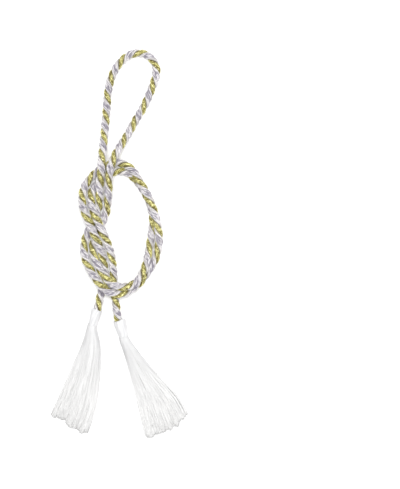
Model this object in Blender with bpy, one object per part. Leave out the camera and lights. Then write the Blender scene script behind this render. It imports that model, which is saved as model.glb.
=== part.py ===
# Curtain tieback: one doubled rope tied in an open knot, with a hanging loop at the top
# and a white tassel on each end. It lies flat on the floor, z = 0. Sizes are in millimetres
# here and become metres where a mesh is made.

import math
import random
from collections import namedtuple

import bmesh
import bpy
import numpy as np
from mathutils import Matrix

MM = 0.001

# The rope: three plies, one gold and two silver white, laid left-handed.
ROPE_R = 3.5  # over the crests of the plies
GROOVE_R = 2.5  # at the bottom of the groove between two plies
PLIES = 3
LAY = 19.4  # length in which a ply goes once round
RINGS_IN_A_LAY = 10
PAIR_GAP = 0.4  # between the two strands of the doubled rope
FLOOR = ROPE_R + 0.05  # height of a strand that lies on the floor
UPPER = FLOOR + 2 * ROPE_R + 0.4  # height of a strand that lies on another

# The doubled rope's middle line, from the tails up through the knot, once round the ring and
# back up to the loop. lean is how far the pair is tipped about its own line, in degrees: at 0
# the two lie side by side, above 0 the outer strand is the higher one.
Pair = namedtuple("Pair", "x y z lean")
PAIR_LINE = [
    Pair(-8.5, -31.0, FLOOR, 0),  # the tails, under the ring's end
    Pair(-9.2, -19.8, 4.3, 0),
    Pair(-10.9, -8.4, 7.6, 0),
    Pair(-15.0, 3.2, 10.7, 0),
    Pair(-20.0, 14.4, UPPER, 0),  # over the middle of the knot
    Pair(-25.0, 25.7, UPPER, 0),
    Pair(-27.8, 37.2, 8.2, 0),
    Pair(-25.3, 48.3, 4.4, 0),
    Pair(-17.2, 57.4, 3.7, 0),  # under the loop's legs
    Pair(-8.4, 63.2, 3.7, 3),
    Pair(0.4, 64.6, 4.9, 22),
    Pair(8.8, 61.2, 6.6, 53),
    Pair(15.5, 53.4, 7.15, 75),
    Pair(20.6, 45.9, 7.2, 82),
    Pair(25.3, 36.6, 7.2, 80),
    Pair(28.6, 27.0, 7.0, 76),
    Pair(30.2, 17.0, 6.75, 60),
    Pair(30.4, 7.0, 5.3, 28),
    Pair(29.2, -3.4, 4.0, -5),
    Pair(26.8, -13.4, 5.5, -31),
    Pair(22.8, -22.6, 6.9, -62),
    Pair(17.3, -31.4, 7.3, -72),
    Pair(9.7, -37.3, 9.0, -65),
    Pair(0.9, -39.6, 11.5, -35),
    Pair(-7.8, -37.2, 12.3, -7),
    Pair(-13.9, -31.3, 11.2, -2),  # over the tails
    Pair(-20.2, -21.9, 10.8, 0),
    Pair(-25.3, -11.4, 7.8, 0),
    Pair(-26.0, -0.5, 4.5, 0),
    Pair(-22.8, 9.3, 3.6, 0),
    Pair(-17.8, 19.4, FLOOR, 0),  # under the middle of the knot
    Pair(-14.1, 30.9, 4.0, 0),
    Pair(-12.9, 41.0, 7.5, 0),
    Pair(-12.3, 51.0, 10.9, 0),
    Pair(-11.4, 61.5, 12.1, 0),  # the legs, over the ring
]

# The single rope of the hanging loop, from its left leg over the top to its right leg.
Point = namedtuple("Point", "x y z")
LOOP = [
    Point(-14.3, 74.5, 10.8),
    Point(-13.3, 86.0, 6.4),
    Point(-12.2, 98.5, 3.8),
    Point(-10.8, 115.0, FLOOR),
    Point(-8.9, 133.0, FLOOR),
    Point(-2.6, 149.2, FLOOR),
    Point(7.4, 159.0, FLOOR),
    Point(18.0, 161.3, FLOOR),
    Point(26.9, 157.0, FLOOR),
    Point(31.3, 147.8, FLOOR),
    Point(28.7, 135.0, FLOOR),
    Point(21.4, 117.6, FLOOR),
    Point(12.5, 102.2, 3.7),
    Point(4.4, 88.0, 6.0),
    Point(-3.2, 75.0, 11.0),
]

# The two tails, from the knot down to their heads.
LEFT_TAIL = [Point(-14.3, -38.9, FLOOR), Point(-16.5, -45.4, 3.7), Point(-17.3, -50.4, 4.6)]
RIGHT_TAIL = [Point(-4.7, -40.0, FLOOR), Point(-3.3, -47.5, 3.6), Point(-2.2, -57.5, 4.6)]

# The tassel heads: tapered sleeves that lie on one of their facets.
CAP_SIDES = 16
CAP_LENGTH = 15.8
CAP_TOP_R = 5.3
CAP_END_R = 4.4
CAP_EDGE = 0.7  # of the rounding at both ends
CAP_BORE_R = 3.95  # round the rope
CAP_NECK_R = 3.2  # round the root of the skirt
ROPE_IN_CAP = 8.0
NECK_DEPTH = 8.7  # where the bore narrows

# The skirts: locks of yarn fused at a root disc below the head.
COLUMNS = 14
LAYERS = 5
ROOT_R = 2.85  # inside the head
ROOT_DEPTH = 9.3  # how far down the head the root begins
DISC_R = 4.1
DISC_GAP = 0.35  # below the head
DISC_HEIGHT = 1.3
LOCK_SHARE = 0.68  # of its cell that a lock fills
LOCK_JITTER = 0.09
SHORTEST = 0.93  # of the full length
SPREAD_BY = 0.2  # of the length, by when the round bundle has become a flat fan
STATIONS = 5  # along each lock
EDGE_THINNING = 0.62

# Each skirt's two side edges, from the head to the tips, and how thick it lies there.
Edge = namedtuple("Edge", "left_x left_y right_x right_y thick")
Tassel = namedtuple("Tassel", "side top end tip_bulge seed edges")
LEFT = Tassel(
    side="left",
    top=(-18.4, -54.6),
    end=(-22.8, -69.8),
    tip_bulge=0.02,
    seed=4,
    edges=[
        Edge(-26.8, -72.0, -18.7, -72.3, 8.2),
        Edge(-31.8, -85.7, -16.4, -88.1, 8.4),
        Edge(-38.5, -100.8, -17.3, -106.7, 7.8),
        Edge(-45.0, -116.2, -19.5, -125.2, 6.8),
        Edge(-51.6, -131.5, -22.0, -143.0, 5.8),
        Edge(-58.2, -146.5, -27.6, -160.2, 5.0),
    ],
)
RIGHT = Tassel(
    side="right",
    top=(-0.7, -65.2),
    end=(3.9, -80.3),
    tip_bulge=0.07,
    seed=9,
    edges=[
        Edge(0.6, -83.4, 8.5, -81.4, 8.2),
        Edge(5.2, -97.5, 17.0, -93.2, 8.4),
        Edge(9.7, -113.9, 27.5, -105.8, 7.8),
        Edge(14.3, -130.4, 38.9, -118.0, 6.8),
        Edge(18.5, -147.2, 50.2, -130.2, 5.8),
        Edge(22.7, -163.4, 58.0, -144.5, 5.0),
    ],
)


def smooth_curve(points):
    """A natural cubic spline through the points, as a function of the chord length along them."""
    points = np.array(points, float)
    steps = np.linalg.norm(np.diff(points, axis=0), axis=1)
    knots = np.concatenate([[0], np.cumsum(steps)])
    count = len(points)
    system = np.eye(count)
    wanted = np.zeros_like(points)
    for i in range(1, count - 1):
        system[i, i - 1 : i + 2] = steps[i - 1], 2 * (steps[i - 1] + steps[i]), steps[i]
        rise_after = (points[i + 1] - points[i]) / steps[i]
        rise_before = (points[i] - points[i - 1]) / steps[i - 1]
        wanted[i] = 6 * (rise_after - rise_before)
    bend = np.linalg.solve(system, wanted)

    def place(along):
        along = np.atleast_1d(np.asarray(along, float))
        i = np.clip(np.searchsorted(knots, along) - 1, 0, count - 2)
        step = steps[i][:, None]
        before = (along - knots[i])[:, None]
        after = step - before
        line = (points[i] * after + points[i + 1] * before) / step
        bow = bend[i] * (after**3 / step - step * after) + bend[i + 1] * (before**3 / step - step * before)
        return line + bow / 6

    return place, knots


def strands():
    """The two strands of the doubled rope: the outer one and the inner one, row by row."""
    middle = [(row.x, row.y, row.z) for row in PAIR_LINE]
    place, knots = smooth_curve(middle)
    nudge = 0.5
    ahead = place(np.minimum(knots + nudge, knots[-1]))
    behind = place(np.maximum(knots - nudge, 0))
    half = ROPE_R + PAIR_GAP / 2
    outer, inner = [], []
    for row, way in zip(PAIR_LINE, ahead - behind):
        level = math.hypot(way[0], way[1])
        lean = math.radians(row.lean)
        across = np.array([-way[1] / level * math.cos(lean), way[0] / level * math.cos(lean), math.sin(lean)])
        outer.append(np.array(row[:3]) + half * across)
        inner.append(np.array(row[:3]) - half * across)
    return outer, inner


def cap_frame(tassel):
    """The head's top, its direction towards the skirt, and its side and up directions."""
    run = np.subtract(tassel.end, tassel.top)
    flat = run / np.linalg.norm(run)
    facet = math.cos(math.pi / CAP_SIDES)
    dip = math.atan((CAP_TOP_R - CAP_END_R) * facet / (CAP_LENGTH - 2 * CAP_EDGE))
    height = (CAP_TOP_R * facet + CAP_EDGE * math.tan(dip)) * math.cos(dip)
    down = np.array([flat[0] * math.cos(dip), flat[1] * math.cos(dip), -math.sin(dip)])
    side = np.array([flat[1], -flat[0], 0.0])
    return np.array([*tassel.top, height]), down, side, np.cross(side, down)


def rope_route():
    """The rope's own points, from the left head to the right head."""
    outer, inner = strands()
    left_top, left_down, *_ = cap_frame(LEFT)
    right_top, right_down, *_ = cap_frame(RIGHT)
    points = [left_top + left_down * depth for depth in (ROPE_IN_CAP, ROPE_IN_CAP / 2, 0)]
    points += LEFT_TAIL[::-1]
    points += outer
    points += LOOP
    points += inner[::-1]
    points += RIGHT_TAIL
    points += [right_top + right_down * depth for depth in (0, ROPE_IN_CAP / 2, ROPE_IN_CAP)]
    return [tuple(map(float, point)) for point in points]


def ring_centres():
    """Places at even steps along the rope, with the direction of the rope at each."""
    place, knots = smooth_curve(rope_route())
    fine = place(np.linspace(0, knots[-1], 8000))
    lengths = np.concatenate([[0], np.cumsum(np.linalg.norm(np.diff(fine, axis=0), axis=1))])
    count = round(lengths[-1] / LAY * RINGS_IN_A_LAY)
    wanted = np.linspace(0, lengths[-1], count + 1)
    centres = np.stack([np.interp(wanted, lengths, fine[:, axis]) for axis in range(3)], axis=1)
    centres[:, 2] = np.maximum(centres[:, 2], ROPE_R)
    ways = np.gradient(centres, axis=0)
    ways /= np.linalg.norm(ways, axis=1)[:, None]
    return centres, ways, lengths[-1]


def ply_section():
    """Radius and angle of the points round the rope: a groove and two shoulders for each ply."""
    third = 2 * math.pi / PLIES / 3
    for ply in range(PLIES):
        for place, radius in enumerate((GROOVE_R, ROPE_R, ROPE_R)):
            yield radius, (3 * ply + place) * third


def rope_mesh():
    centres, ways, _ = ring_centres()
    section = list(ply_section())
    up = np.cross(ways[0], (0, 0, 1))
    vertices = []
    for step, (centre, way) in enumerate(zip(centres, ways)):
        up = up - way * np.dot(up, way)
        up /= np.linalg.norm(up)
        side = np.cross(way, up)
        turned = -2 * math.pi * step / RINGS_IN_A_LAY
        for radius, angle in section:
            spread = radius * (math.cos(angle + turned) * up + math.sin(angle + turned) * side)
            vertices.append(centre + spread)
    return vertices, tube_faces(len(centres), len(section))


def tube_faces(rings, around):
    """Faces of a tube of rings of vertices, closed at both ends."""
    faces = []
    for ring in range(rings - 1):
        for i in range(around):
            here, there = ring * around + i, ring * around + (i + 1) % around
            faces.append((here, there, there + around, here + around))
    faces.append(tuple(range(around))[::-1])
    faces.append(tuple(range((rings - 1) * around, rings * around)))
    return faces


def add_piece(name, vertices, faces, material):
    """A mesh object from vertices in millimetres, with its faces turned outwards."""
    mesh = bpy.data.meshes.new(name)
    mesh.from_pydata([tuple(float(v) * MM for v in vertex) for vertex in vertices], [], faces)
    form = bmesh.new()
    form.from_mesh(mesh)
    bmesh.ops.triangulate(form, faces=form.faces)
    bmesh.ops.recalc_face_normals(form, faces=form.faces)
    form.to_mesh(mesh)
    form.free()
    mesh.materials.append(material)
    piece = bpy.data.objects.new(name, mesh)
    bpy.context.collection.objects.link(piece)
    return piece


def cap_mesh():
    """A tapered sleeve along +X with a stepped bore, one facet facing straight down."""
    profile = [
        (0, CAP_BORE_R),
        (0, CAP_TOP_R - CAP_EDGE),
        (CAP_EDGE, CAP_TOP_R),
        (CAP_LENGTH - CAP_EDGE, CAP_END_R),
        (CAP_LENGTH, CAP_END_R - CAP_EDGE),
        (CAP_LENGTH, CAP_NECK_R),
        (NECK_DEPTH, CAP_NECK_R),
        (NECK_DEPTH, CAP_BORE_R),
    ]
    vertices = []
    for side in range(CAP_SIDES):
        angle = -math.pi / 2 + (side + 0.5) * 2 * math.pi / CAP_SIDES
        vertices += [(along, r * math.cos(angle), r * math.sin(angle)) for along, r in profile]
    faces = []
    rows = len(profile)
    for side in range(CAP_SIDES):
        here, there = side * rows, (side + 1) % CAP_SIDES * rows
        for i in range(rows):
            j = (i + 1) % rows
            faces.append((here + i, here + j, there + j, there + i))
    return vertices, faces


def add_cap(tassel, material):
    piece = add_piece(f"cap_{tassel.side}", *cap_mesh(), material)
    top, down, side, up = cap_frame(tassel)
    turn = Matrix([down, side, up]).transposed().to_4x4()
    piece.matrix_world = Matrix.Translation([float(v) * MM for v in top]) @ turn
    return piece


class Skirt:
    """The space of one skirt: u goes from its left edge, -1, to its right edge, 1, v from its
    underside, -1, to its top, 1, and s from the root disc, 0, to the tips, 1."""

    def __init__(self, tassel):
        self.top, self.down, self.side, self.up = cap_frame(tassel)
        self.disc = self.top + self.down * (CAP_LENGTH + DISC_GAP + DISC_HEIGHT)
        table = np.array(tassel.edges)
        table[0, :2] = (self.disc + self.side * DISC_R)[:2]
        table[0, 2:4] = (self.disc - self.side * DISC_R)[:2]
        self.place, self.knots = smooth_curve(table)

    def on_disc(self, u, v, radius=DISC_R):
        across = -radius * u * math.sqrt(1 - v * v / 2)
        height = radius * v * math.sqrt(1 - u * u / 2)
        return self.side * across + self.up * height

    def at(self, s, u, v):
        left_x, left_y, right_x, right_y, thick = self.place(s * self.knots[-1])[0]
        share = (u + 1) / 2
        rise = thick * (1 - EDGE_THINNING * u * u) * (v + 1) / 2
        fan = np.array([left_x + (right_x - left_x) * share, left_y + (right_y - left_y) * share, rise])
        blend = min(s / SPREAD_BY, 1)
        blend = blend * blend * (3 - 2 * blend)
        # Near the head the section is still round: its corners draw in and its underside is lifted.
        draw_in = self.side * DISC_R * u * (1 - math.sqrt(1 - v * v / 2))
        bundle = fan + draw_in
        bundle[2] = (self.disc + self.on_disc(u, v))[2]
        return bundle * (1 - blend) + fan * blend


def lock_corners(column, layer, dice):
    """The (u, v) corners of one lock, a little off the middle of its cell."""
    wide, high = 2 / COLUMNS, 2 / LAYERS
    u = -1 + (column + 0.5 + dice.uniform(-LOCK_JITTER, LOCK_JITTER)) * wide
    v = -1 + (layer + 0.5 + dice.uniform(-LOCK_JITTER, LOCK_JITTER)) * high
    left, right = u - wide * LOCK_SHARE / 2, u + wide * LOCK_SHARE / 2
    low, high = v - high * LOCK_SHARE / 2, v + high * LOCK_SHARE / 2
    return [(left, low), (right, low), (right, high), (left, high)]


def skirt_mesh(tassel):
    skirt = Skirt(tassel)
    dice = random.Random(tassel.seed)
    across, upward = COLUMNS + 1, LAYERS + 1
    grid = {}
    vertices = []
    for row in range(upward):
        for column in range(across):
            u, v = -1 + 2 * column / COLUMNS, -1 + 2 * row / LAYERS
            grid[column, row] = len(vertices)
            vertices.append(skirt.disc + skirt.on_disc(u, v))
    rim = [(c, 0) for c in range(COLUMNS)] + [(COLUMNS, r) for r in range(LAYERS)]
    rim += [(c, LAYERS) for c in range(COLUMNS, 0, -1)] + [(0, r) for r in range(LAYERS, 0, -1)]
    faces = []
    last = [grid[corner] for corner in rim]
    depths = [(CAP_LENGTH + DISC_GAP, DISC_R), (CAP_LENGTH + DISC_GAP, ROOT_R), (ROOT_DEPTH, ROOT_R)]
    for depth, radius in depths:
        ring = []
        for column, row in rim:
            u, v = -1 + 2 * column / COLUMNS, -1 + 2 * row / LAYERS
            ring.append(len(vertices))
            vertices.append(skirt.top + skirt.down * depth + skirt.on_disc(u, v, radius))
        for i in range(len(rim)):
            j = (i + 1) % len(rim)
            faces.append((last[i], last[j], ring[j], ring[i]))
        last = ring
    faces.append(tuple(last))
    for column in range(COLUMNS):
        for layer in range(LAYERS):
            corners = lock_corners(column, layer, dice)
            middle = sum(u for u, _ in corners) / 4
            reach = 1 + tassel.tip_bulge * (1 - middle * middle) - dice.uniform(0, 1 - SHORTEST)
            cell = [(column, layer), (column + 1, layer), (column + 1, layer + 1), (column, layer + 1)]
            last = [grid[corner] for corner in cell]
            rings = [[skirt.disc + skirt.on_disc(u, v) for u, v in corners]]
            if layer == 0:  # the undersides of the lowest locks lie on the floor
                corners = [(u, -1) for u, _ in corners[:2]] + corners[2:]
            for station in range(1, STATIONS + 1):
                rings.append([skirt.at(reach * station / STATIONS, u, v) for u, v in corners])
            for places in rings:
                ring = range(len(vertices), len(vertices) + 4)
                vertices += places
                for i in range(4):
                    j = (i + 1) % 4
                    faces.append((last[i], last[j], ring[j], ring[i]))
                last = ring
            faces.append(tuple(last))
    return vertices, faces


def material(name, colour, metallic, roughness):
    made = bpy.data.materials.new(name)
    made.use_nodes = True
    shader = made.node_tree.nodes["Principled BSDF"]
    shader.inputs["Base Color"].default_value = (*colour, 1)
    shader.inputs["Metallic"].default_value = metallic
    shader.inputs["Roughness"].default_value = roughness
    return made


def main():
    for old in list(bpy.data.objects):
        bpy.data.objects.remove(old)
    rope = material("gold_and_white_rope", (0.60, 0.55, 0.30), 0.2, 0.45)
    head = material("white_head", (0.86, 0.86, 0.87), 0.0, 0.5)
    yarn = material("white_yarn", (0.88, 0.88, 0.89), 0.0, 0.45)
    add_piece("rope", *rope_mesh(), rope)
    for tassel in (LEFT, RIGHT):
        add_cap(tassel, head)
        add_piece(f"tassel_{tassel.side}", *skirt_mesh(tassel), yarn)


main()
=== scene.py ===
import math
from types import SimpleNamespace

import bpy
import numpy as np
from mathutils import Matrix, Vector


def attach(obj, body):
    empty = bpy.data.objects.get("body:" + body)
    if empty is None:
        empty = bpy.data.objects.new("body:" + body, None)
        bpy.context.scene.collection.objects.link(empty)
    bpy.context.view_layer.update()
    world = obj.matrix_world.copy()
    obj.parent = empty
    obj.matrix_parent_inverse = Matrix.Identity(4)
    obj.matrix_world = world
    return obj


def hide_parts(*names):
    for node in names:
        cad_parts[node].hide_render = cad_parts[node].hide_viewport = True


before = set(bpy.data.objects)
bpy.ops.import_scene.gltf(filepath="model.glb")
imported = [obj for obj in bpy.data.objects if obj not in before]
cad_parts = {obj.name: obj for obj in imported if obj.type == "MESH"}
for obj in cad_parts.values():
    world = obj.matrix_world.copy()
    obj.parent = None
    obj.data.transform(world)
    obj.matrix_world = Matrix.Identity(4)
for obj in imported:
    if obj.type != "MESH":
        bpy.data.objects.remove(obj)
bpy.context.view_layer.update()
print("frame loaded:", ", ".join(sorted(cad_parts)))

layName = "lay"  # of the UV layer: across and along a yarn, a tape or a thread
anyPhase = (0, 6.28)  # where a random phase lies
floorGap = 0.00002  # no point of a piece is lower


class Wire:
    # one socket of a material: sums of wires add their own nodes

    def __init__(self, tree, socket=None):
        self.tree, self.socket = tree, socket

    def make(self, kind, settings, sockets, out=0):  # a node of any kind, its settings first
        node = self.tree.nodes.new(kind)
        for key, value in settings.items():
            setattr(node, key, value)
        for key, value in sockets.items():
            if isinstance(value, Wire):
                self.tree.links.new(value.socket, node.inputs[key])
            else:
                node.inputs[key].default_value = value
        return Wire(self.tree, node.outputs[out])

    def maths(self, operation, *terms):
        return self.make("ShaderNodeMath", {"operation": operation}, dict(enumerate(terms)))

    def __add__(self, other):
        return self.maths("ADD", self, other)

    def __sub__(self, other):
        return self.maths("SUBTRACT", self, other)

    def __rsub__(self, other):
        return self.maths("SUBTRACT", other, self)

    def __mul__(self, other):
        return self.maths("MULTIPLY", self, other)

    __radd__, __rmul__ = __add__, __mul__

    def clear(self, low, high):  # the part between low and high, as 0 to 1
        sockets = {"Value": self, "From Min": low, "From Max": high}
        return self.make("ShaderNodeMapRange", {"interpolation_type": "SMOOTHSTEP"}, sockets)

    def blend(self, first, second):  # of two colours, by this wire
        return self.make("ShaderNodeMix", {"data_type": "RGBA"}, {0: self, 6: first, 7: second}, out=2)

    def lay(self):  # across and along
        spot = self.make("ShaderNodeUVMap", {"uv_map": layName}, {})
        across = self.make("ShaderNodeSeparateXYZ", {}, {0: spot})
        return across, Wire(self.tree, across.socket.node.outputs[1])

    def noise(self, x, y, detail, rough=0.5):
        spot = self.make("ShaderNodeCombineXYZ", {}, {0: x, 1: y})
        sockets = {"Vector": spot, "Scale": 1.0, "Detail": detail, "Roughness": rough}
        return self.make("ShaderNodeTexNoise", {}, sockets)

    def bump(self, height, depth):
        return self.make("ShaderNodeBump", {}, {"Height": height, "Distance": depth, "Strength": 1.0})


def newMaterial(name, **constants):  # a socket's name has _ for its spaces
    material = bpy.data.materials.new(name)
    material.use_nodes = True
    shader = material.node_tree.nodes["Principled BSDF"]
    for socket, value in constants.items():
        shader.inputs[socket.replace("_", " ")].default_value = value
    return material, Wire(material.node_tree), shader


def feed(shader, **wires):
    for socket, wire in wires.items():
        wire.tree.links.new(wire.socket, shader.inputs[socket.replace("_", " ")])


# the rope's way, and the plain heads of the solids that its ends go into
route = {
    "ropeR": 0.0035,
    "pairGap": 0.0004,  # between the two strands of the doubled rope
    "nudge": 0.0005,  # to both sides of a point, to find the way there
    "capSides": 16,
    "capLength": 0.0158,
    "capTopR": 0.0053,
    "capEndR": 0.0044,
    "capEdge": 0.0007,  # of the rounding at both ends
    "ropeInCap": 0.008,  # how far the rope goes into a head
}

# the doubled rope's middle line: x, y, z and the lean of the pair in degrees
pairLine = [
    (-0.0085, -0.031, 0.00355, 0),  # the tails, under the ring's end
    (-0.0092, -0.0198, 0.0043, 0),
    (-0.0109, -0.0084, 0.0076, 0),
    (-0.015, 0.0032, 0.0107, 0),
    (-0.02, 0.0144, 0.01095, 0),  # over the middle of the knot
    (-0.025, 0.0257, 0.01095, 0),
    (-0.0278, 0.0372, 0.0082, 0),
    (-0.0253, 0.0483, 0.0044, 0),
    (-0.0172, 0.0574, 0.0037, 0),  # under the loop's legs
    (-0.0084, 0.0632, 0.0037, 3),
    (0.0004, 0.0646, 0.0049, 22),
    (0.0088, 0.0612, 0.0066, 53),
    (0.0155, 0.0534, 0.00715, 75),
    (0.0206, 0.0459, 0.0072, 82),
    (0.0253, 0.0366, 0.0072, 80),
    (0.0286, 0.027, 0.007, 76),
    (0.0302, 0.017, 0.00675, 60),
    (0.0304, 0.007, 0.0053, 28),
    (0.0292, -0.0034, 0.004, -5),
    (0.0268, -0.0134, 0.0055, -31),
    (0.0228, -0.0226, 0.0069, -62),
    (0.0173, -0.0314, 0.0073, -72),
    (0.0097, -0.0373, 0.009, -65),
    (0.0009, -0.0396, 0.0115, -35),
    (-0.0078, -0.0372, 0.0123, -7),
    (-0.0139, -0.0313, 0.0112, -2),  # over the tails
    (-0.0202, -0.0219, 0.0108, 0),
    (-0.0253, -0.0114, 0.0078, 0),
    (-0.026, -0.0005, 0.0045, 0),
    (-0.0228, 0.0093, 0.0036, 0),
    (-0.0178, 0.0194, 0.00355, 0),  # under the middle of the knot
    (-0.0141, 0.0309, 0.004, 0),
    (-0.0129, 0.041, 0.0075, 0),
    (-0.0123, 0.051, 0.0109, 0),
    (-0.0114, 0.0615, 0.0121, 0),  # the legs, over the ring
]
# the single rope: the hanging loop, and the two tails down to the heads
loopLine = [
    (-0.0143, 0.0745, 0.0108),
    (-0.0133, 0.086, 0.0064),
    (-0.0122, 0.0985, 0.0038),
    (-0.0108, 0.115, 0.00355),
    (-0.0089, 0.133, 0.00355),
    (-0.0026, 0.1492, 0.00355),
    (0.0074, 0.159, 0.00355),
    (0.018, 0.1613, 0.00355),
    (0.0269, 0.157, 0.00355),
    (0.0313, 0.1478, 0.00355),
    (0.0287, 0.135, 0.00355),
    (0.0214, 0.1176, 0.00355),
    (0.0125, 0.1022, 0.0037),
    (0.0044, 0.088, 0.006),
    (-0.0032, 0.075, 0.011),
]
leftTail = [(-0.0143, -0.0389, 0.00355), (-0.0165, -0.0454, 0.0037), (-0.0173, -0.0504, 0.0046)]
rightTail = [(-0.0047, -0.04, 0.00355), (-0.0033, -0.0475, 0.0036), (-0.0022, -0.0575, 0.0046)]

# each tassel: where its head starts and ends, the seed of its random draws, how far its threads
# reach at places from -1, its left edge, to 1, its right one, the place past which its locks stand
# apart, its head's half widths to the left and the right at shares of its length, and rows of the
# skirt's left edge, right edge and thickness
tassels = {
    "left": {
        "top": (-0.0184, -0.0546),
        "end": (-0.0228, -0.0698),
        "seed": 21,
        "tips": [
            (-1, 1.01), (-0.6, 1.005), (-0.3, 0.985), (-0.2, 1.01),
            (0, 1.03), (0.4, 1.03), (0.7, 1.045), (1, 1.02),
        ],
        "splitOver": 2.0,  # past both edges, so none do
        "headR": [
            (0.1, 0.0054, 0.0050),
            (0.35, 0.0048, 0.0047),
            (0.7, 0.0044, 0.0043),
            (1, 0.0043, 0.0041),
        ],
        "edges": [
            (-0.0268, -0.0720, -0.0187, -0.0723, 0.0082),
            (-0.0318, -0.0857, -0.0161, -0.0881, 0.0084),
            (-0.0385, -0.1008, -0.0162, -0.1067, 0.0078),
            (-0.0450, -0.1162, -0.0182, -0.1252, 0.0068),
            (-0.0516, -0.1315, -0.0214, -0.1430, 0.0058),
            (-0.0582, -0.1465, -0.0276, -0.1602, 0.0050),
        ],
    },
    "right": {
        "top": (-0.0007, -0.0652),
        "end": (0.0039, -0.0803),
        "seed": 22,
        "tips": [
            (-1, 1.03), (-0.85, 1.07), (-0.6, 1.06), (0.05, 1.09),
            (0.37, 1.08), (0.5, 1.06), (0.78, 1.04), (1, 1.03),
        ],
        "splitOver": 0.5,
        "headR": [
            (0, 0.0050, 0.0064),
            (0.3, 0.0050, 0.0058),
            (0.55, 0.0045, 0.0052),
            (0.75, 0.0040, 0.0047),
            (1, 0.0039, 0.0042),
        ],
        "edges": [
            (0.0006, -0.0834, 0.0085, -0.0814, 0.0082),
            (0.0052, -0.0975, 0.0170, -0.0932, 0.0084),
            (0.0097, -0.1139, 0.0275, -0.1058, 0.0078),
            (0.0143, -0.1304, 0.0389, -0.1180, 0.0068),
            (0.0185, -0.1472, 0.0502, -0.1302, 0.0058),
            (0.0227, -0.1634, 0.0580, -0.1445, 0.0050),
        ],
    },
}


def smoothCurve(points):  # a natural cubic spline, by chord length
    points = np.array(points, float)
    steps = np.linalg.norm(np.diff(points, axis=0), axis=1)
    knots = np.concatenate([[0], np.cumsum(steps)])
    count = len(points)
    system, wanted = np.eye(count), np.zeros_like(points)
    for i in range(1, count - 1):
        before, after = steps[i - 1], steps[i]
        system[i, i - 1 : i + 2] = before, 2 * (before + after), after
        wanted[i] = 6 * ((points[i + 1] - points[i]) / after - (points[i] - points[i - 1]) / before)
    bend = np.linalg.solve(system, wanted)

    def place(along):
        along = np.atleast_1d(np.asarray(along, float))
        i = np.clip(np.searchsorted(knots, along) - 1, 0, count - 2)
        step = steps[i][:, None]
        before = (along - knots[i])[:, None]
        after = step - before
        line = (points[i] * after + points[i + 1] * before) / step
        bow = bend[i] * (after**3 / step - step * after)
        bow += bend[i + 1] * (before**3 / step - step * before)
        return line + bow / 6

    return place, knots


def headAxes(tassel):  # the head's top, its way to the skirt, its side and its up
    run = np.subtract(tassel["end"], tassel["top"])
    flat = run / np.linalg.norm(run)
    facet = math.cos(math.pi / route["capSides"])
    taper = (route["capTopR"] - route["capEndR"]) * facet
    dip = math.atan(taper / (route["capLength"] - 2 * route["capEdge"]))
    height = (route["capTopR"] * facet + route["capEdge"] * math.tan(dip)) * math.cos(dip)
    down = np.array([*flat * math.cos(dip), -math.sin(dip)])
    side = np.array([flat[1], -flat[0], 0.0])
    return np.array([*tassel["top"], height]), down, side, np.cross(side, down)


def strands():  # the two strands of the doubled rope
    place, knots = smoothCurve([row[:3] for row in pairLine])
    before, after = knots - route["nudge"], knots + route["nudge"]
    ways = place(np.minimum(after, knots[-1])) - place(np.maximum(before, 0))
    half = route["ropeR"] + route["pairGap"] / 2
    outer, inner = [], []
    for (*middle, degrees), way in zip(pairLine, ways):
        level = math.hypot(way[0], way[1])
        lean = math.radians(degrees)
        x, y = -way[1] / level * math.cos(lean), way[0] / level * math.cos(lean)
        across = np.array([x, y, math.sin(lean)])
        outer.append(np.array(middle) + half * across)
        inner.append(np.array(middle) - half * across)
    return outer, inner


def ropeRoute():
    outer, inner = strands()
    depths = (route["ropeInCap"], route["ropeInCap"] / 2, 0)
    leftTop, leftDown, *_ = headAxes(tassels["left"])
    rightTop, rightDown, *_ = headAxes(tassels["right"])
    points = [leftTop + leftDown * depth for depth in depths]
    points += leftTail[::-1] + outer + loopLine + inner[::-1] + rightTail
    points += [rightTop + rightDown * depth for depth in depths[::-1]]
    return points


studio = {
    "mmPerPixel": 0.85,
    "photoSize": (400, 489),
    "originAt": (119.6, 243.4),  # the pixel of the photograph that the origin lies on
    "distance": 1.6,  # of the camera from the floor
    "sensorWidth": 36.0,  # in millimetres, as a camera has it
    "floorSize": 3.0,
    "floorColour": (0.93, 0.93, 0.93),
    "floorRoughness": 0.9,
    "floorGlow": 0.12,  # the paper is lit from behind, so that no shadow greys it
    "skyStrength": 0.5,
    "lamps": [
        # place, size in metres, watts
        ((-0.05, 0.3, 1.45), 0.6, 15.0),
        ((0.4, -0.25, 1.2), 0.5, 4.0),
    ],
}


def makeCamera():  # straight above, at the scale of the photograph
    wide, high = studio["photoSize"]
    metres = studio["mmPerPixel"] / 1000
    camera = bpy.data.cameras.new("camera")
    camera.sensor_fit = "AUTO"
    camera.sensor_width = studio["sensorWidth"]
    camera.lens = camera.sensor_width * studio["distance"] / (max(wide, high) * metres)
    holder = bpy.data.objects.new("camera", camera)
    x = (wide / 2 - studio["originAt"][0]) * metres
    y = (studio["originAt"][1] - high / 2) * metres
    holder.location = (x, y, studio["distance"])
    bpy.context.scene.collection.objects.link(holder)
    bpy.context.scene.camera = holder


def makeFloor():
    half = studio["floorSize"] / 2
    corners = [(-half, -half, 0), (half, -half, 0), (half, half, 0), (-half, half, 0)]
    mesh = bpy.data.meshes.new("floor")
    mesh.from_pydata(corners, [], [(0, 1, 2, 3)])
    paper = {
        "Base_Color": (*studio["floorColour"], 1),
        "Roughness": studio["floorRoughness"],
        "Emission_Color": (1, 1, 1, 1),
        "Emission_Strength": studio["floorGlow"],
    }
    material, *_ = newMaterial("floorPaper", **paper)
    mesh.materials.append(material)
    floor = bpy.data.objects.new("floor", mesh)
    bpy.context.scene.collection.objects.link(floor)


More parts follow.
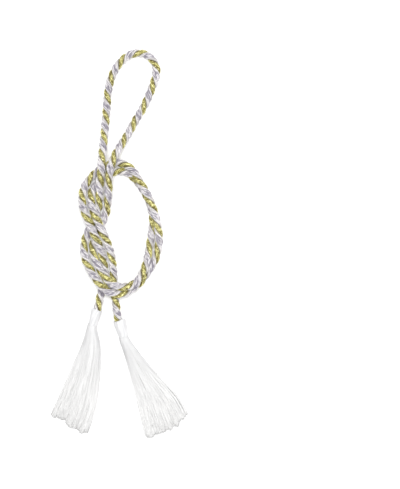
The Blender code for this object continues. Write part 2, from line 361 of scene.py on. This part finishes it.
def makeLight():
    scene = bpy.context.scene
    for number, (place, size, watts) in enumerate(studio["lamps"]):
        lamp = bpy.data.lights.new(f"softLamp{number}", "AREA")
        lamp.size, lamp.energy = size, watts
        holder = bpy.data.objects.new(lamp.name, lamp)
        holder.location = place
        holder.rotation_euler = (-Vector(place)).to_track_quat("-Z", "Y").to_euler()
        scene.collection.objects.link(holder)
    scene.world = bpy.data.worlds.new("studio")
    scene.world.use_nodes = True
    sky = scene.world.node_tree.nodes["Background"]
    sky.inputs["Color"].default_value = (1, 1, 1, 1)
    sky.inputs["Strength"].default_value = studio["skyStrength"]
    scene.view_settings.view_transform = "Standard"


def addPiece(name, points, faces, materials, uvs, slots=None, smooth=True):
    points[:, 2] = np.maximum(points[:, 2], floorGap)
    mesh = bpy.data.meshes.new(name)
    mesh.vertices.add(len(points))
    mesh.vertices.foreach_set("co", points.astype(np.float32).ravel())
    sizes = np.array([len(face) for face in faces], np.int32)
    starts = np.concatenate([[0], np.cumsum(sizes)[:-1]])
    corners = np.concatenate([np.asarray(face, np.int32) for face in faces])
    mesh.loops.add(len(corners))
    mesh.loops.foreach_set("vertex_index", corners)
    mesh.polygons.add(len(faces))
    mesh.polygons.foreach_set("loop_start", starts.astype(np.int32))
    mesh.update(calc_edges=True)
    for material in materials:
        mesh.materials.append(material)
    if slots is not None:
        mesh.polygons.foreach_set("material_index", np.asarray(slots, np.int32))
    layer = mesh.uv_layers.new(name=layName)
    layer.uv.foreach_set("vector", uvs.astype(np.float32).ravel())
    mesh.polygons.foreach_set("use_smooth", np.broadcast_to(smooth, len(faces)))
    mesh.validate()
    piece = bpy.data.objects.new(name, mesh)
    bpy.context.scene.collection.objects.link(piece)
    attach(piece, "root")
    return piece


def grid(rows, across):  # faces between closed rows of points, as an array of corners
    ring = np.arange(across)
    here = np.arange(rows - 1)[:, None] * across + ring
    there = np.arange(rows - 1)[:, None] * across + (ring + 1) % across
    return np.stack([here, there, there + across, here + across], axis=-1).reshape(-1, 4)


def gridUvs(low, high, begin, end):  # of those corners, from what each face spans across and along
    return np.stack([low, begin, high, begin, high, end, low, end], axis=1).reshape(-1, 2)


def ease(share):  # slow at 0 and at 1
    return share * share * (3 - 2 * share)


rope = {
    "shares": (0.38, 0.31, 0.31),  # of the turn: the gold ply and the two white ones
    "crest": 0.00354,
    "groove": 0.00215,  # how far from the middle the bottom of a groove lies
    "pointsPerPly": 35,
    "yarns": 5,  # that show on one ply
    "yarnRise": 0.00024,
    "slack": 0.00006,  # how proud or how sunk a ply may lie
    "slackPace": 0.35,  # how quickly it drifts from one to the other
    "seed": 2,  # of that random drift
    "ringStep": 0.0013,
    "fineSteps": 8000,  # to measure the route by
    "evenOver": 12,  # rings to both sides that even out the twist
    "pathStep": 4,  # rings from one point of the cord's path to the next
    "plyApart": 2.0,  # in the noise of the tones, along
    "yarnApart": 5.3,  # and across
    "tonePace": 55.0,  # tones in a metre of yarn
    # how far along the rope its gold ply comes to the top, and the number of that time
    "goldAt": [
        (0.012, 0), (0.05, 2), (0.07, 3), (0.088, 4), (0.108, 5), (0.126, 6), (0.161, 8), (0.18, 9),
        (0.202, 10), (0.222, 11), (0.244, 12), (0.268, 13), (0.292, 14), (0.314, 15), (0.334, 16),
        (0.353, 17), (0.392, 19), (0.414, 20), (0.43, 21), (0.449, 22), (0.467, 23), (0.483, 24),
        (0.499, 25), (0.516, 26), (0.533, 27), (0.55, 28), (0.57, 29), (0.588, 30), (0.606, 31),
        (0.622, 32), (0.64, 33), (0.66, 34), (0.683, 35), (0.722, 37), (0.7515, 38), (0.7715, 39),
        (0.79, 40), (0.812, 41), (0.832, 42), (0.8725, 44), (0.891, 45), (0.925, 47), (0.944, 48),
        (0.964, 49), (0.982, 50), (1.019, 52),
    ],
}


def ropeLine():  # even places along the rope, their centres, and the way it goes at each
    place, knots = smoothCurve(ropeRoute())
    fine = place(np.linspace(0, knots[-1], rope["fineSteps"]))
    lengths = np.concatenate([[0], np.cumsum(np.linalg.norm(np.diff(fine, axis=0), axis=1))])
    along = np.linspace(0, lengths[-1], round(lengths[-1] / rope["ringStep"]) + 1)
    centres = np.stack([np.interp(along, lengths, fine[:, axis]) for axis in range(3)], axis=1)
    centres[:, 2] = np.maximum(centres[:, 2], route["ropeR"])
    ways = np.gradient(centres, axis=0)
    ways /= np.linalg.norm(ways, axis=1)[:, None]
    return along, centres, ways


def ropeTurn(along):  # the angle of the plies: a gold one is on top at each place of goldAt
    spots, times = np.array(rope["goldAt"]).T
    first = (times[1] - times[0]) / (spots[1] - spots[0])
    last = (times[-1] - times[-2]) / (spots[-1] - spots[-2])
    begin = times[0] - first * spots[0]
    end = times[-1] + last * (along[-1] - spots[-1])
    times = np.concatenate([[begin], times, [end]])
    spots = np.concatenate([[0], spots, [along[-1]]])
    turn = np.interp(along, spots, times)
    reach = rope["evenOver"]
    before = turn[0] + (turn[:reach] - turn[reach])
    after = turn[-1] + (turn[-reach:] - turn[-reach - 1])
    window = np.ones(2 * reach + 1) / (2 * reach + 1)
    return -2 * math.pi * np.convolve(np.concatenate([before, turn, after]), window, "valid")


def ropeSection():  # angle, distance from the middle, ply and place on it of the points round the rope
    crest, groove = rope["crest"], rope["groove"]
    wave = np.arange(rope["pointsPerPly"]) / rope["pointsPerPly"]
    ridge = np.abs(np.sin(math.pi * rope["yarns"] * wave))
    middleAt = 0.0
    section = []
    for number, share in enumerate(rope["shares"]):
        half = math.pi * share
        centre = (crest**2 - groove**2) / (2 * (crest - groove * math.cos(half)))
        swing = math.atan2(groove * math.sin(half), groove * math.cos(half) - centre)
        own = crest - centre - rope["yarnRise"] * (1 - ridge)
        x = centre + own * np.cos(swing * (2 * wave - 1))
        y = own * np.sin(swing * (2 * wave - 1))
        if number:
            middleAt += half
        angle = np.arctan2(y, x) + middleAt
        section.append(np.stack([angle, np.hypot(x, y), np.full(len(x), number), wave]))
        middleAt += half
    return np.concatenate(section, axis=1)


def ropeUvs(along, ply, wave):  # across is 0 beside the gold ply, on both white ones
    low, high = wave, wave + 1 / rope["pointsPerPly"]
    low, high = (np.where(ply == 2, 1 - part, part) for part in (low, high))
    shift = ply * rope["plyApart"]
    low, high, shift = (np.tile(part, len(along) - 1) for part in (low, high, shift))
    begin, end = (np.repeat(part, len(ply)) + shift for part in (along[:-1], along[1:]))
    cutEnds = np.zeros((2 * len(ply), 2))
    return np.concatenate([gridUvs(low, high, begin, end), cutEnds])


def makeRope():
    along, centres, ways = ropeLine()
    side = np.cross(ways, (0, 0, 1))
    side /= np.linalg.norm(side, axis=1)[:, None]
    up = np.cross(side, ways)
    angle, radius, ply, wave = ropeSection()
    rings, around = len(along), len(angle)
    dice = np.random.default_rng(rope["seed"])
    drift = np.cumsum(dice.normal(0, 1, (rings, len(rope["shares"]))), axis=0)
    drift -= np.linspace(0, 1, rings)[:, None] * drift[-1]
    slack = rope["slack"] * np.sin(drift * rope["slackPace"])[:, ply.astype(int)]
    spread = radius + slack * (radius - rope["groove"]) / (rope["crest"] - rope["groove"])
    turned = angle + ropeTurn(along)[:, None]
    out = np.cos(turned)[:, :, None] * up[:, None] + np.sin(turned)[:, :, None] * side[:, None]
    points = (centres[:, None] + spread[:, :, None] * out).reshape(-1, 3)
    cutEnds = [list(range(around))[::-1], list(range((rings - 1) * around, rings * around))]
    faces = [*grid(rings, around), *cutEnds]
    slots = [*np.tile(ply > 0, rings - 1), 1, 1]
    uvs = ropeUvs(along, ply, wave)
    piece = addPiece("rope_twist", points, faces, [goldYarn(), silverYarn()], uvs, slots)
    print("rope made:", len(faces), "faces,", round(float(along[-1]), 3), "m")
    return piece, along, centres


def yarnRidges(wire, across):  # 1 on the back of each yarn, 0 between two
    return wire.maths("ABSOLUTE", wire.maths("SINE", across * (math.pi * rope["yarns"])))


def yarnTone(wire, across, along, pace=rope["tonePace"]):  # one tone for each yarn, that drifts along it
    number = wire.maths("FLOOR", across * rope["yarns"])
    return wire.noise(number * rope["yarnApart"], along * pace, detail=1.0)


gold = {
    # dark serves the painted shade of grooves and gaps as well as the darker yarn tones and specks
    "dark": (0.14, 0.11, 0.02, 1),
    "middle": (0.53, 0.49, 0.125, 1),
    # bright is the colour of the painted glints
    "bright": (1.0, 0.95, 0.45, 1),
    "glints": (6.0, 480.0),  # across a ply, and in a metre of it
    "light": 0.85,  # on the crest of a ply, before the rest changes it
    # painted shade, darker towards the grooves between the plies
    "grooveShade": 0.45,
    "toneSwing": 1.6,
    "glintSwing": 3.2,
    "gapShade": 0.8,  # painted shade between two yarns
    "middleFrom": (0.0, 0.9),  # the light of the dark colour and of the middle one
    "sparkleFrom": (0.55, 0.63),  # where a painted glint starts to sparkle, and does so fully
    # painted highlight: more glints on the crest of a ply and on the backs of its yarns
    "crestSparkle": 0.05,
    "yarnSparkle": 0.08,
    "metallic": (0.25, 0.25),  # without sparkle, and what it adds
    "roughness": (0.46, 0.14),  # without sparkle, and what it takes away
    "specular": 0.6,
    "yarnBump": 0.5,
    "bumpDepth": 0.00015,
}


def goldYarn():
    material, wire, shader = newMaterial("goldYarn", Specular_IOR_Level=gold["specular"])
    across, along = wire.lay()
    ridge = yarnRidges(wire, across)
    tone = yarnTone(wire, across, along)
    glint = wire.noise(across * gold["glints"][0], along * gold["glints"][1], detail=3.0, rough=0.7)
    side = wire.maths("ABSOLUTE", across - 0.5) * 2.0  # 0 on the crest of the ply, 1 in the groove
    # painted shade: darker in the grooves between plies and in the gaps between yarns; yarn tones and
    # the glint noise add lighter and darker specks
    light = gold["light"] - side * gold["grooveShade"] + (tone - 0.5) * gold["toneSwing"]
    light = light + (glint - 0.5) * gold["glintSwing"] - (1 - ridge) * gold["gapShade"]
    # painted glints: the bright colour where the glint noise is high, more on the crest of a ply and on
    # the backs of its yarns
    sparkle = glint + (1 - side) * gold["crestSparkle"] + (ridge - 0.5) * gold["yarnSparkle"]
    sparkle = sparkle.clear(*gold["sparkleFrom"])
    yarn = light.clear(*gold["middleFrom"]).blend(gold["dark"], gold["middle"])
    feed(
        shader,
        Base_Color=sparkle.blend(yarn, gold["bright"]),
        Metallic=gold["metallic"][0] + sparkle * gold["metallic"][1],
        Roughness=gold["roughness"][0] - sparkle * gold["roughness"][1],
        Normal=wire.bump(ridge * gold["yarnBump"] + glint, gold["bumpDepth"]),
    )
    return material


silver = {
    "white": ((0.74, 0.71, 0.69, 1), (1.0, 0.97, 0.955, 1)),  # its dull and bright streaks
    # painted shade, lilac-grey, in the groove between the two white plies, with its dull and bright
    # streaks
    "lilacShade": ((0.36, 0.335, 0.39, 1), (0.95, 0.92, 0.93, 1)),
    "oliveShade": (0.26, 0.24, 0.17, 1),  # painted shade with an olive tint, in the groove right beside the gold
    "between": (0.09, 0.08, 0.11, 1),  # painted shade between two yarns
    "streakPace": 220.0,  # streaks in a metre of yarn
    "streaksApart": 2.0,  # from the tones, in their noise
    "streakFrom": (0.40, 0.60),
    "fibres": (16.0, 260.0),  # across a ply, and in a metre of it
    "fibresFrom": 3.0,  # in their noise
    "swing": 0.5,  # of a yarn's tone
    "lilacShadeFrom": (0.32, 0.56),  # places across a ply, counted from the gold
    "oliveShadeUpTo": (0.04, 0.18),
    "oliveShadeSwing": 0.2,
    "threads": (0.5, 0.9, 0.6),  # what fibres, yarns and tones add to them
    "threadFrom": (0.35, 0.85),
    "roughness": (0.40, 0.2),  # of the smoothest, and what fibres add
    "specular": 0.4,
    "bump": (0.6, 0.6),  # of yarns and of fibres
    "bumpDepth": 0.00015,
}


def silverYarn():
    material, wire, shader = newMaterial("silverYarn", Specular_IOR_Level=silver["specular"])
    across, along = wire.lay()  # across is 0 beside the gold, 1 beside the other white ply
    ridge = yarnRidges(wire, across)
    tone = yarnTone(wire, across, along)
    wide, lengthwise = silver["fibres"]
    fibre = wire.noise(across * wide, along * lengthwise + silver["fibresFrom"], detail=3.0, rough=0.65)
    loose = (tone - 0.5) * silver["swing"]
    streak = yarnTone(wire, across + silver["streaksApart"], along, silver["streakPace"])
    streak = streak.clear(*silver["streakFrom"])
    white = streak.blend(*silver["white"])
    # painted shade: white on the crests, lilac-grey towards the groove between the white plies
    lilacShade = streak.blend(*silver["lilacShade"])
    colour = (across + loose).clear(*silver["lilacShadeFrom"]).blend(white, lilacShade)
    # painted shade with an olive tint beside the gold
    oliveShade = (across + loose * silver["oliveShadeSwing"]).clear(*silver["oliveShadeUpTo"])
    colour = oliveShade.blend(silver["oliveShade"], colour)
    # painted shade between the yarns: the dark between colour where the ridge is low, mixed with the
    # fibre noise and the yarn tones
    byFibre, byYarn, byTone = silver["threads"]
    thread = (fibre * byFibre + ridge * byYarn + loose * byTone).clear(*silver["threadFrom"])
    feed(
        shader,
        Base_Color=thread.blend(silver["between"], colour),
        Roughness=silver["roughness"][0] + fibre * silver["roughness"][1],
        Normal=wire.bump(ridge * silver["bump"][0] + fibre * silver["bump"][1], silver["bumpDepth"]),
    )
    return material


head = {
    "around": 96,
    "along": 44,  # rows of points on the outside
    "inside": 12,  # and in the bore
    "rimR": 0.0005,  # of the rounding at both ends
    "pleats": 7,
    "pleatDepth": 0.00026,
    "pleatLean": 2.5,
    "folds": 4,  # wider ones under the pleats
    "foldShare": 0.6,  # of a pleat's depth
    "foldLean": -3,
    "depthAtEnd": 0.35,  # of that at the top
    "fade": 4,  # how soon the pleats get less deep
    "lap": 0.00035,  # the tape's own end shows as a low step
    "lapLean": 0.8,
    "topWave": 0.0003,  # how uneven the upper rim is
    "boreR": 0.0036,  # of the hole that the rope and the threads go into
    "highest": 0.0052,  # that half its height may be
}


def headRows(tassel, angles):  # depths and radii, down the outside and back up the bore
    shares, toLeft, toRight = np.array(tassel["headR"]).T
    phase = np.random.default_rng(tassel["seed"]).uniform(*anyPhase, 4)
    rows = []
    for i in range(head["along"]):
        t = ease(i / (head["along"] - 1))  # closer rows at both rims
        s = shares[0] + (1 - shares[0]) * t
        left, right = np.interp(s, shares, toLeft), np.interp(s, shares, toRight)
        wide = (left + right) / 2 + (left - right) / 2 * np.cos(angles)
        tall = min((left + right) / 2, head["highest"])
        ringR = wide * tall / np.hypot(tall * np.cos(angles), wide * np.sin(angles))
        pleat = np.cos(head["pleats"] * angles + phase[0] + head["pleatLean"] * s)
        pleat += head["foldShare"] * np.cos(head["folds"] * angles + phase[1] + head["foldLean"] * s)
        fade = head["depthAtEnd"] + (1 - head["depthAtEnd"]) * np.exp(-head["fade"] * t)
        ringR -= head["pleatDepth"] * (1 + head["foldShare"] - pleat) * fade
        lap = (angles + phase[2] + head["lapLean"] * s) % (2 * math.pi)
        ringR -= head["lap"] * lap / (2 * math.pi)
        near = min(t, 1 - t) * (1 - shares[0]) * route["capLength"] / head["rimR"]
        ringR -= head["rimR"] * (1 - math.sqrt(1 - (1 - min(near, 1)) ** 2))
        wave = head["topWave"] * np.cos(angles * 2 + phase[3]) * (1 - t)
        rows.append((s * route["capLength"] + wave, ringR))
    for i in range(head["inside"]):
        s = 1 - (1 - shares[0]) * i / (head["inside"] - 1)
        rows.append((np.full(len(angles), s * route["capLength"]), np.full(len(angles), head["boreR"])))
    return rows


def makeHead(side, material):
    tassel = tassels[side]
    top, down, sideways, up = headAxes(tassel)
    turns = np.arange(head["around"]) / head["around"]
    angles = turns * 2 * math.pi
    rows = headRows(tassel, angles)
    out = np.cos(angles)[:, None] * sideways + np.sin(angles)[:, None] * up
    points = [top + down * depth[:, None] + ringR[:, None] * out for depth, ringR in rows]
    points = np.concatenate(points)
    faces = grid(len(rows) + 1, len(angles)) % len(points)  # the last row meets the first one
    low = np.tile(turns, len(rows))
    begin = np.repeat(np.arange(len(rows)) / len(rows), len(angles))
    uvs = gridUvs(low, low + 1 / len(angles), begin, begin + 1 / len(rows))
    uvs = uvs.reshape(-1, 4, 2)[:, ::-1].reshape(-1, 2)  # turned over with the faces
    piece = addPiece(f"head_{side}_tape", points, faces[:, ::-1], [material], uvs)
    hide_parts(f"cap_{side}")
    print("head made:", side, len(faces), "faces")


tape = {
    "dull": (0.70, 0.70, 0.71, 1),
    "bright": (0.84, 0.84, 0.845, 1),
    "brightFrom": (0.3, 0.7),
    "cloud": (24.0, 2.5),  # round the head, and down it
    "weave": (1200.0, 420.0),
    "weaveBump": 0.25,
    "bumpDepth": 0.00008,
    "roughness": 0.42,
    "specular": 0.45,
}


def tapeMaterial():
    constants = {"Roughness": tape["roughness"], "Specular_IOR_Level": tape["specular"]}
    material, wire, shader = newMaterial("whiteTape", **constants)
    across, along = wire.lay()
    weft, warp = tape["weave"]
    weave = wire.maths("SINE", across * weft) * wire.maths("SINE", along * warp)
    cloud = wire.noise(across * tape["cloud"][0], along * tape["cloud"][1], detail=3.0)
    feed(
        shader,
        Base_Color=cloud.clear(*tape["brightFrom"]).blend(tape["dull"], tape["bright"]),
        Normal=wire.bump(weave * tape["weaveBump"] + cloud, tape["bumpDepth"]),
    )
    return material


skirt = {
    "threads": 3200,
    "columns": 19,  # of locks, side by side
    "layers": 6,  # of locks, one over the other
    # where a thread has its rings of points, from the head to its tip
    "stations": (0, 0.07, 0.15, 0.26, 0.44, 0.62, 0.78, 0.9, 0.996, 1),
    "sides": 3,  # of a thread
    "threadR": 0.00019,
    "thickness": (0.75, 1.2),  # the thinnest and the thickest thread, as shares of threadR
    "tipR": 0.85,  # of the thread's own, at its cut end
    "gather": 0.13,  # how much a lock's threads keep together
    "splitGather": 0.93,  # and where the locks stand apart
    "splitPace": 4,  # how suddenly that starts
    "loose": 0.7,  # how far from its lock's middle a thread begins, in half widths of the lock
    "hollow": 0.5,  # below 1, most threads lie near the outside
    "lockShift": 0.8,  # how far to a side a lock may hang, in half widths too
    "columnsFrom": 0.96,  # the shortest column's length, as a share of the longest one's
    "locksFrom": 0.985,  # the shortest lock's, in its column
    "shortest": 0.97,  # the shortest thread's, in its lock
    "shortPower": (0.55, 3),  # below and above 1, so that few threads are short
    "fray": 0.026,  # how far a thread strays at its tip
    "frayLoss": 0.7,  # where the locks stand apart
    "lockWave": (0.012, 5.0),  # how wide and how quick
    "threadWave": (0.014, 9.0),
    "heightWave": (0.10, 6),
    "outermost": 1.03,  # where the skirt's edge is at 1
    "curl": 0.0005,  # of the tips
    "sink": 0.55,  # of its height that the skirt loses at the tips
    "edgeThinning": 0.62,  # and at its edges
    "discR": 0.0041,  # of the disc in the solids that all locks start from
    "discGap": 0.00165,  # from the head to its lower face
    "inHead": 0.0032,  # how far up inside the head the threads begin
    "rootShare": 0.84,  # of the disc that the bundle is wide there
    "spreadBy": 0.2,  # of a thread's length, where the bundle has fanned out
    "lockSeed": 50,  # more than the tassel's own
    "shadeSeed": 1,
}


def planThreads(tassel, dice):  # each thread's lock, its own place in it, and how far it reaches
    count, columns, layers = skirt["threads"], skirt["columns"], skirt["layers"]
    column, layer = dice.integers(0, columns, count), dice.integers(0, layers, count)
    lockAcross, lockUp = (column + 0.5) / columns * 2 - 1, (layer + 0.5) / layers * 2 - 1
    wander = np.random.default_rng(tassel["seed"] + skirt["lockSeed"])
    shift = wander.uniform(-skirt["lockShift"], skirt["lockShift"], (columns, layers))
    columnLength = wander.uniform(skirt["columnsFrom"], 1.0, columns)
    lockLength = wander.uniform(skirt["locksFrom"], 1.0, (columns, layers))
    lockPhase = wander.uniform(*anyPhase, (columns, layers))
    across = np.clip(lockAcross + dice.normal(0, skirt["loose"], count) / columns, -1, 1)
    up = np.clip(lockUp + dice.uniform(-1, 1, count) / layers, -1, 1)
    stray = dice.normal(0, 1, count)
    power, sharper = skirt["shortPower"]
    cut = (1 - skirt["shortest"]) * dice.power(power, count) ** sharper
    phase = dice.uniform(*anyPhase, count)
    apart = np.clip((lockAcross - tassel["splitOver"]) * skirt["splitPace"], 0, 1)
    reach = columnLength[column] * lockLength[column, layer] * (1 - cut)
    return SimpleNamespace(
        across=across,
        up=np.sign(up) * np.abs(up) ** skirt["hollow"],
        lockAt=lockAcross + shift[column, layer] / columns * (1 - apart),
        lockPhase=lockPhase[column, layer],
        phase=phase,
        reach=reach * np.interp(across, *np.array(tassel["tips"]).T),
        gather=skirt["gather"] + (skirt["splitGather"] - skirt["gather"]) * apart,
        fray=skirt["fray"] * (1 - skirt["frayLoss"] * apart) * stray,
        curl=np.stack([np.sin(phase * 7), np.cos(phase * 5), np.sin(phase * 3)], axis=1),  # every way
    )


def sway(kind, phase, share):  # none at the root, most at the tip
    size, pace = skirt[kind]
    return size * np.sin(phase + pace * share) * share


def threadLines(tassel, dice):  # the middle line of each thread, from inside the head to its tip
    top, down, sideways, up = headAxes(tassel)
    disc = top + down * (route["capLength"] + skirt["discGap"])
    table = np.array(tassel["edges"])  # its first row moves to both sides of the disc
    table[0, :2] = (disc + sideways * skirt["discR"])[:2]
    table[0, 2:4] = (disc - sideways * skirt["discR"])[:2]
    place, knots = smoothCurve(table)
    plan = planThreads(tassel, dice)
    lines = []
    for share in skirt["stations"]:
        s = plan.reach * share
        # u is the place across the skirt, v the one up through it, both from -1 to 1
        close = plan.gather * share**1.5
        u = plan.across * (1 - close) + plan.lockAt * close + plan.fray * share**2
        u += sway("lockWave", plan.lockPhase, share) + sway("threadWave", plan.phase, share)
        u = np.clip(u, -skirt["outermost"], skirt["outermost"])
        v = np.clip(plan.up + sway("heightWave", plan.phase * 2, share), -1, 1)
        inner = np.clip(u, -1, 1)
        # further down, the threads fan out between the skirt's edges
        edges = place(s * knots[-1])
        half = (u + 1) / 2
        crown = (1 - skirt["edgeThinning"] * inner**2) * (1 - skirt["sink"] * share**3)
        x = edges[:, 0] + (edges[:, 2] - edges[:, 0]) * half
        y = edges[:, 1] + (edges[:, 3] - edges[:, 1]) * half
        rise = edges[:, 4] * crown * (v + 1) / 2 + skirt["threadR"]
        fan = np.stack([x, y, rise], axis=1) + skirt["curl"] * share**6 * plan.curl
        # at the head they are a round bundle
        narrower = skirt["discR"] * inner * (1 - np.sqrt(1 - v * v / 2))
        bundle = fan + sideways * narrower[:, None]
        bundle[:, 2] = disc[2] + skirt["discR"] * v * np.sqrt(1 - inner * inner / 2) * up[2]
        blend = ease(np.clip(s / skirt["spreadBy"], 0, 1))[:, None]
        lines.append(bundle * (1 - blend) + fan * blend)
    rootR = skirt["discR"] * skirt["rootShare"]
    root = disc - down * (skirt["discGap"] + skirt["inHead"])
    root = root - sideways * (rootR * plan.across * np.sqrt(1 - plan.up * plan.up / 2))[:, None]
    root = root + up * (rootR * plan.up * np.sqrt(1 - plan.across * plan.across / 2))[:, None]
    return np.stack([root, *lines], axis=1)


def makeSkirt(side, material):
    tassel = tassels[side]
    dice = np.random.default_rng(tassel["seed"])
    lines = threadLines(tassel, dice)
    count, rows = lines.shape[:2]
    ways = np.gradient(lines, axis=1)
    ways /= np.linalg.norm(ways, axis=2)[:, :, None]
    across = np.cross(ways, (0, 0, 1))
    across /= np.linalg.norm(across, axis=2)[:, :, None]
    upward = np.cross(across, ways)
    thick = skirt["threadR"] * dice.uniform(*skirt["thickness"], count)[:, None] * np.ones(rows)
    thick[:, -1] *= skirt["tipR"]
    spin = dice.uniform(*anyPhase, count)
    around = skirt["sides"]
    corners = []
    for i in range(around):
        angle = (spin + i * 2 * math.pi / around)[:, None, None]
        corners.append(lines + thick[:, :, None] * (np.cos(angle) * across + np.sin(angle) * upward))
    points = np.stack(corners, axis=2).reshape(-1, 3)  # by thread, then row, then corner
    start = (np.arange(count) * rows * around)[:, None, None]
    sides = (grid(rows, around)[None, :, ::-1] + start).reshape(-1, 4)
    tips = start[:, 0] + rows * around - 1 - np.arange(around)
    roots = start[:, 0] + np.arange(around)
    faces = [*sides, *tips, *roots]
    smooth = np.arange(len(faces)) < len(sides)  # the cut ends are flat
    shade = np.random.default_rng(skirt["shadeSeed"]).uniform(0, 1, count)  # across, in the UV layer
    share = np.array([0, *skirt["stations"]])
    low, high = np.repeat(share[:-1], around), np.repeat(share[1:], around)
    level = np.stack([high, high, low, low], axis=1).reshape(-1)
    sideUvs = np.stack([np.repeat(shade, len(level)), np.tile(level, count)], axis=1)
    tipUvs = np.stack([np.repeat(shade, around), np.ones(around * count)], axis=1)
    uvs = np.concatenate([sideUvs, tipUvs, tipUvs * (1, 0)])
    piece = addPiece(f"skirt_{side}_threads", points, faces, [material], uvs, smooth=smooth)
    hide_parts(f"tassel_{side}")
    print("skirt made:", side, len(faces), "faces")


silk = {
    "dull": (0.80, 0.80, 0.795, 1),
    "bright": (0.865, 0.86, 0.855, 1),
    "root": (0.76, 0.76, 0.765, 1),  # in the shade of the head
    "rootUpTo": (-0.25, 0.8),  # places along a thread, where 1 is its tip
    "strands": (900.0, 4.0),
    "mix": (0.7, 0.5),  # of each thread's own shade and the strands on it
    "brightFrom": (0.2, 0.9),
    "roughness": 0.38,
    "specular": 0.5,
}


def threadMaterial():
    constants = {"Roughness": silk["roughness"], "Specular_IOR_Level": silk["specular"]}
    material, wire, shader = newMaterial("whiteThread", **constants)
    shade, along = wire.lay()
    strand = wire.noise(shade * silk["strands"][0], along * silk["strands"][1], detail=1.0)
    light = (shade * silk["mix"][0] + strand * silk["mix"][1]).clear(*silk["brightFrom"])
    white = light.blend(silk["dull"], silk["bright"])
    feed(shader, Base_Color=along.clear(*silk["rootUpTo"]).blend(silk["root"], white))
    return material


makeCamera()
makeFloor()
makeLight()
print("studio made")

ropePiece, ropeAlong, ropeCentres = makeRope()
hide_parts("rope")
whiteTape, whiteThread = tapeMaterial(), threadMaterial()
for side in tassels:
    makeHead(side, whiteTape)
for side in tassels:
    makeSkirt(side, whiteThread)
